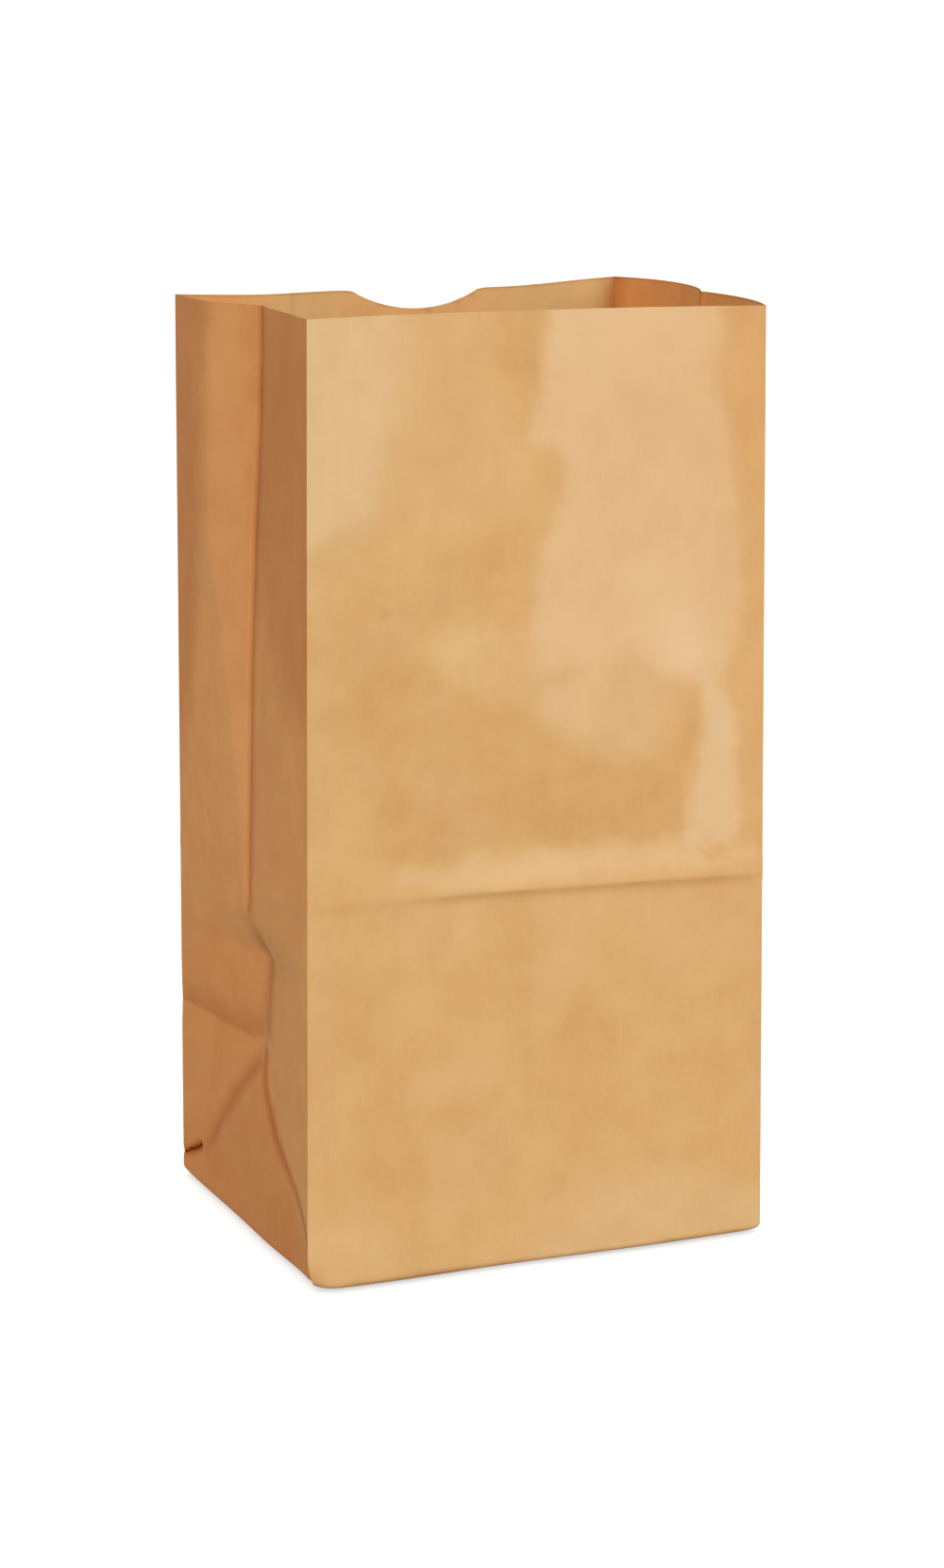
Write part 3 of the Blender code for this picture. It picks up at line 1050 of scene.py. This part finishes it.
@dataclass(frozen=True)
class KraftPaper:
    """Plain brown kraft paper: softly mottled, with fibres and faint streaks.

    It is darker where it was folded hard, and paler where it is smooth.
    """

    name: str = "kraft_paper"
    base: Colour = (0.686, 0.438, 0.193)
    dark: Colour = (0.500, 0.240, 0.070)
    light: Colour = (0.800, 0.520, 0.250)
    # painted shade, with the few real marks, is laid in this colour
    crease: Colour = (0.370, 0.110, 0.024)
    # the near-black painted shadow of the open tuck's slit
    slit_shadow: Colour = (0.050, 0.014, 0.004)
    # painted sheen and highlights
    painted_highlight: Colour = (0.780, 0.590, 0.370)
    roughness: float = 0.60
    gloss: float = 0.03
    cloud_roughness: float = 0.55
    bump: float = 0.20
    bump_height: float = 0.0002

    def cloud(self, tree: Tree, grain: Grain) -> Socket:
        """Add a cloud pattern, drawn out up and down the sheet.

        Args:
            tree: The material's nodes.
            grain: How fine, detailed and narrow it is.

        Returns:
            The pattern, from nought to one.
        """
        place = add_node(tree, "TexCoord", {}).outputs["Object"]
        mapping = add_node(tree, "Mapping", {"Vector": place, "Scale": (1.0, 1.0, grain.stretch)})
        inputs = {
            "Vector": mapping.outputs["Vector"],
            "Scale": grain.scale,
            "Detail": grain.detail,
            "Roughness": self.cloud_roughness,
        }
        return add_node(tree, "TexNoise", inputs).outputs["Fac"]

    def blend(
        self,
        tree: Tree,
        pattern: Socket,
        span: tuple[float, float, float],
        under: Socket | Colour,
        over: Colour,
    ) -> Socket:
        """Lay a colour over another, as strongly as a pattern says.

        Args:
            tree: The material's nodes.
            pattern: The pattern.
            span: Where the pattern starts to count and where it counts fully,
                and how strongly the colour is laid there.
            under: The colour below.
            over: The colour laid on it.

        Returns:
            The mixed colour.
        """
        start, full, strength = span
        inputs = {"Value": pattern, "From Min": start, "From Max": full, "To Max": strength}
        ramp = add_node(tree, "MapRange", inputs)
        return mix_colours(tree, ramp.outputs["Result"], under, over)

    def make(self) -> bpy.types.Material:
        """Make the material's nodes.

        Returns:
            The finished material.
        """
        material = bpy.data.materials.new(self.name)
        material.use_nodes = True
        tree, colour = material.node_tree, self.base
        grains = ((BROAD, self.dark), (BLOTCH, self.dark), (FIBRE, self.light), (STREAK, self.dark))
        for grain, over in grains:
            span = (grain.start, grain.full, grain.strength)
            colour = self.blend(tree, self.cloud(tree, grain), span, colour, over)
        shade_and_marks = tree.nodes.new("ShaderNodeAttribute")
        shade_and_marks.attribute_name = SHADE_AND_MARK_TONE
        tones = (
            # positive tones lay painted shade, and a few real marks, in the crease colour
            ((0.0, 1.0, 1.0), self.crease),
            # only the darkest tone, the open tuck's slit, takes the near-black painted shadow
            ((0.75, 1.05, 1.0), self.slit_shadow),
            # painted sheen and highlights have a tone below nought
            ((0.0, -1.0, 1.0), self.painted_highlight),
        )
        for span, over in tones:
            colour = self.blend(tree, shade_and_marks.outputs["Fac"], span, colour, over)
        height = self.cloud(tree, FIBRE)
        inputs = {"Strength": self.bump, "Distance": self.bump_height, "Height": height}
        bump = add_node(tree, "Bump", inputs)
        inputs = {
            "Base Color": colour,
            "Roughness": self.roughness,
            "Specular IOR Level": self.gloss,
            "Normal": bump.outputs["Normal"],
        }
        feed(tree, tree.nodes["Principled BSDF"], inputs)
        return material


# the inner face's brighter, redder orange is painted light, standing in for light that shines through the
# paper and bounces round inside the bag
INSIDE_PAPER_PAINTED_LIGHT = KraftPaper(
    name="kraft_paper_inside_painted_light",
    base=(0.970, 0.410, 0.070),
    dark=(0.720, 0.260, 0.045),
    light=(0.970, 0.490, 0.120),
    roughness=0.70,
    gloss=0.01,
)


@dataclass(frozen=True)
class Lamp:
    """A wide, soft lamp; its azimuth is counted from the front to the right."""

    name: str
    azimuth: float
    elevation: float
    spread: float
    strength: float
    colour: Colour


LAMPS = (
    Lamp("key", -36.0, 22.0, 35.0, 2.20, (1.0, 0.61, 0.45)),
    Lamp("fill", 34.0, 24.0, 45.0, 2.00, (0.48, 0.86, 1.0)),
    Lamp("side", 98.0, 24.0, 35.0, 1.70, (1.0, 0.55, 0.28)),
    Lamp("rear", 178.0, 28.0, 40.0, 2.00, (1.0, 0.86, 0.72)),
)


@dataclass
class Studio:
    """The white ground, the lamps and the camera."""

    foot: Foot
    ground_reach: float = 6.0
    ground_drop: float = 0.0002
    ground_roughness: float = 0.9
    ground_colour: Colour = (0.440, 0.475, 0.505)
    shown_colour: Colour = (0.25, 0.25, 0.25)
    glow_colour: Colour = (0.96, 0.96, 0.96)
    contact_reach: float = 0.004
    contact_depth: float = 0.45
    sky_colour: Colour = (1.0, 0.86, 0.72)
    sky_strength: float = 0.16

    def seen(self, tree: Tree) -> Socket:
        """Tell rays that show the background from those that only light things.

        Args:
            tree: The nodes of the ground or the world.

        Returns:
            One for camera, glossy and transmission rays, otherwise nought.
        """
        rays = add_node(tree, "LightPath", {}).outputs
        seen = reckon(tree, "MAXIMUM", rays["Is Camera Ray"], rays["Is Glossy Ray"])
        return reckon(tree, "MAXIMUM", seen, rays["Is Transmission Ray"])

    def floor(self) -> None:
        """Lay the white ground, with the bag's shadow painted near its foot."""
        mesh = bmesh.new()
        bmesh.ops.create_grid(mesh, x_segments=1, y_segments=1, size=self.ground_reach)
        data = bpy.data.meshes.new("ground")
        mesh.to_mesh(data)
        mesh.free()
        ground = bpy.data.objects.new("ground", data)
        ground.location.z = -self.ground_drop
        bpy.context.scene.collection.objects.link(ground)
        material = bpy.data.materials.new("white_ground")
        material.use_nodes = True
        tree = material.node_tree
        seen = self.seen(tree)
        # painted shadow: ambient occlusion dims the ground's glow close to the bag's foot
        contact = add_node(tree, "AmbientOcclusion", {"Distance": self.contact_reach})
        contact.samples = 8
        depth = self.contact_depth
        light = reckon(tree, "MULTIPLY_ADD", contact.outputs["AO"], depth, 1.0 - depth)
        inputs = {
            "Base Color": mix_colours(tree, seen, self.ground_colour, self.shown_colour),
            "Roughness": self.ground_roughness,
            "Specular IOR Level": 0.0,
            "Emission Color": (*self.glow_colour, 1.0),
            "Emission Strength": reckon(tree, "MULTIPLY", seen, light),
        }
        feed(tree, tree.nodes["Principled BSDF"], inputs)
        data.materials.append(material)

    def world(self) -> None:
        """Fill the studio with soft, even light; the camera sees white."""
        world = bpy.data.worlds.new("studio")
        bpy.context.scene.world = world
        world.use_nodes = True
        tree = world.node_tree
        tree.nodes.clear()
        sky = {"Color": (*self.sky_colour, 1.0), "Strength": self.sky_strength}
        fill = add_node(tree, "Background", sky)
        white = add_node(tree, "Background", {"Color": (1.0, 1.0, 1.0, 1.0), "Strength": 1.0})
        inputs = {0: self.seen(tree), 1: fill.outputs["Background"], 2: white.outputs["Background"]}
        mix = add_node(tree, "MixShader", inputs)
        add_node(tree, "OutputWorld", {"Surface": mix.outputs["Shader"]})

    def lamp(self, lamp: Lamp) -> None:
        """Hang a wide, soft lamp, far enough off to light the bag evenly.

        Args:
            lamp: The lamp's place, size and light.
        """
        data = bpy.data.lights.new(lamp.name, "SUN")
        data.energy = lamp.strength
        data.color = lamp.colour
        data.angle = radians(lamp.spread)
        item = bpy.data.objects.new(lamp.name, data)
        turn, tilt = radians(lamp.azimuth), radians(lamp.elevation)
        towards = Vector((-sin(turn) * cos(tilt), cos(turn) * cos(tilt), -sin(tilt)))
        item.rotation_mode = "QUATERNION"
        item.rotation_quaternion = towards.to_track_quat("-Z", "Y")
        bpy.context.scene.collection.objects.link(item)

    def camera(self) -> None:
        """Set up the camera at the photograph's viewing angle.

        The lens is shifted, because the photograph's frame was cut from a
        wider view.
        """
        turn, tilt = radians(20.793), radians(9.489)
        place = Vector((-0.2831, -0.7551, 0.3160))
        focal_pixels, frame_pixels = 3514.0, 1661.0
        shift_right, shift_down = 160.0, 200.0
        data = bpy.data.cameras.new("camera")
        data.sensor_width = 36.0
        data.lens = focal_pixels * data.sensor_width / frame_pixels
        data.shift_x = shift_right / frame_pixels
        data.shift_y = -shift_down / frame_pixels
        camera = bpy.data.objects.new("camera", data)
        camera.location = place + Vector((self.foot.left, self.foot.front, 0.0))
        ahead = Vector((sin(turn) * cos(tilt), cos(turn) * cos(tilt), -sin(tilt)))
        camera.rotation_mode = "QUATERNION"
        camera.rotation_quaternion = ahead.to_track_quat("-Z", "Y")
        bpy.context.scene.collection.objects.link(camera)
        bpy.context.scene.camera = camera

    def build(self) -> None:
        """Set up the ground, the light and the camera."""
        self.floor()
        self.world()
        for lamp in LAMPS:
            self.lamp(lamp)
        self.camera()
        bpy.context.scene.view_settings.view_transform = "Standard"


def main() -> None:
    """Build the bag and the studio round it."""
    logging.basicConfig(level=logging.INFO, format="%(name)s: %(message)s")
    noise.seed_set(NOISE_SEED)
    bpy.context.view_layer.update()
    foot = Foot.from_frame()
    bag = PaperBag(foot).build()
    bag.data.materials.append(KraftPaper().make())
    bag.data.materials.append(INSIDE_PAPER_PAINTED_LIGHT.make())
    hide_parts(NODE)
    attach(bag, BODY)
    log.info("built %s with %d points", bag.name, len(bag.data.vertices))
    Studio(foot).build()
    log.info("built the studio")


if __name__ == "__main__":
    main()
